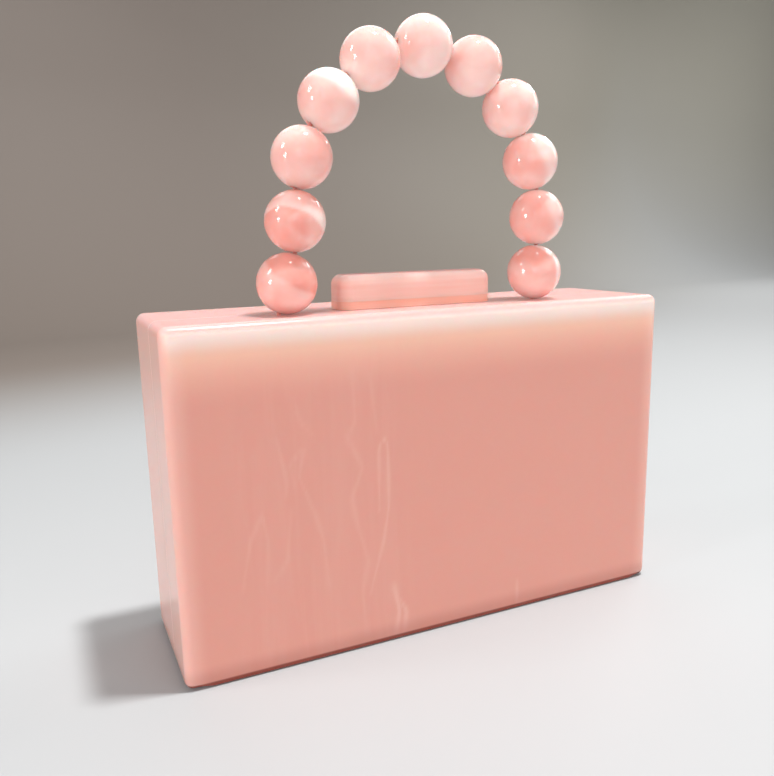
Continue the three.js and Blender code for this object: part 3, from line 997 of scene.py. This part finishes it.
class CLUTCH_OT_case(bpy.types.Operator):
    """Makes the two trays of the case"""

    bl_idname = "clutch.case"
    bl_label = "Case"

    def execute(self, context):
        settings = context.scene.clutch_case
        case_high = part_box("front_shell")[1]
        sheet = cast_sheet_acrylic(settings, case_high)
        tray("front_tray", "front_shell", FRONT_BODY, sheet, settings)
        tray("back_tray", "back_shell", BACK_BODY, sheet, settings)
        return {"FINISHED"}


class CLUTCH_OT_clasp(bpy.types.Operator):
    """Makes the clasp's two layers"""

    bl_idname = "clutch.clasp"
    bl_label = "Clasp"

    def execute(self, context):
        settings = context.scene.clutch_clasp
        low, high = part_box("clasp_bar")
        crown_from = high.z - settings.crown_radius
        base_glow = 0.4 * MM
        bar_glow = 2 * MM
        base_block = buffed_block_acrylic(
            "acrylic_cast_block_buffed_warm", settings.base_tint, settings, low.z, high.z, base_glow
        )
        bar_block = buffed_block_acrylic(
            "acrylic_cast_block_buffed", settings.bar_tint, settings, crown_from, high.z, bar_glow
        )
        case_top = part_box("front_shell")[1].z + settings.foot_gap
        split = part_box("clasp_base")[1].z
        foot = settings.foot_bevel
        bevel = settings.split_bevel
        crown = settings.crown_radius
        clasp_layer("clasp_lower_layer", "clasp_base", base_block, settings, case_top, foot, bevel)
        clasp_layer("clasp_upper_layer", "clasp_bar", bar_block, settings, split, bevel, crown)
        return {"FINISHED"}


class CLUTCH_OT_beads(bpy.types.Operator):
    """Makes the drilled beads of the handle"""

    bl_idname = "clutch.beads"
    bl_label = "Beads"

    def execute(self, context):
        settings = context.scene.clutch_beads
        marble = tumbled_marbled_acrylic(settings)
        boxes = [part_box(node) for node in BEAD_NODES]
        centres = [(low + high) / 2 for low, high in boxes]
        radius = (boxes[0][1].y - boxes[0][0].y) / 2
        leans = bore_leans(centres, settings.foot_lean)
        for number, (node, centre, lean) in enumerate(zip(BEAD_NODES, centres, leans), 1):
            points, quads = joined_grids((bead_surface(centre, radius, lean, settings), True, True))
            name = node.replace("bead", "marbled_bead")
            bead = closed_piece(name, points, quads, marble, FRONT_BODY, node)
            # Milkiness with painted light and glow, kept on the bead's vertices.
            milk_and_glow = bead_milk(number, vertex_places(bead), centre, radius)
            keep_on_vertices(bead, "milkiness_and_glow", milk_and_glow)
        return {"FINISHED"}


class CLUTCH_OT_steel(bpy.types.Operator):
    """Finishes the wire and the hinges"""

    bl_idname = "clutch.steel"
    bl_label = "Steel"

    def execute(self, context):
        settings = context.scene.clutch_steel
        steel = satin_rolled_steel(settings)
        for node in HINGE_NODES:
            frame["nodes"][node].material_slots[0].material = steel
        frame["nodes"]["handle_wire"].material_slots[0].material = nylon_coated_wire(settings)
        return {"FINISHED"}


class CLUTCH_PT_sidebar(bpy.types.Panel):
    """Lists the clutch's operators and settings"""

    bl_idname = "CLUTCH_PT_sidebar"
    bl_label = "Box clutch"
    bl_space_type = "VIEW_3D"
    bl_region_type = "UI"
    bl_category = "Clutch"

    def draw(self, context):
        for operator, settings in STEPS.items():
            box = self.layout.box()
            box.operator(operator.bl_idname)
            group = getattr(context.scene, settings)
            for setting in group.bl_rna.properties.keys():
                if setting not in ("rna_type", "name"):
                    box.prop(group, setting)


STEPS = {
    CLUTCH_OT_stage: "clutch_stage",
    CLUTCH_OT_case: "clutch_case",
    CLUTCH_OT_clasp: "clutch_clasp",
    CLUTCH_OT_beads: "clutch_beads",
    CLUTCH_OT_steel: "clutch_steel",
}
SETTINGS = {
    "clutch_stage": StageSettings,
    "clutch_case": CaseSettings,
    "clutch_clasp": ClaspSettings,
    "clutch_beads": BeadSettings,
    "clutch_steel": SteelSettings,
}
CLASSES = (*SETTINGS.values(), *STEPS, CLUTCH_PT_sidebar)


def register():
    for each in CLASSES:
        bpy.utils.register_class(each)
    for name, group in SETTINGS.items():
        setattr(bpy.types.Scene, name, PointerProperty(type=group))


def unregister():
    for name in SETTINGS:
        delattr(bpy.types.Scene, name)
    for each in reversed(CLASSES):
        bpy.utils.unregister_class(each)


def main():
    register()
    bpy.ops.clutch.stage()
    bpy.ops.clutch.case()
    bpy.ops.clutch.clasp()
    bpy.ops.clutch.beads()
    bpy.ops.clutch.steel()


if __name__ == "__main__":
    main()
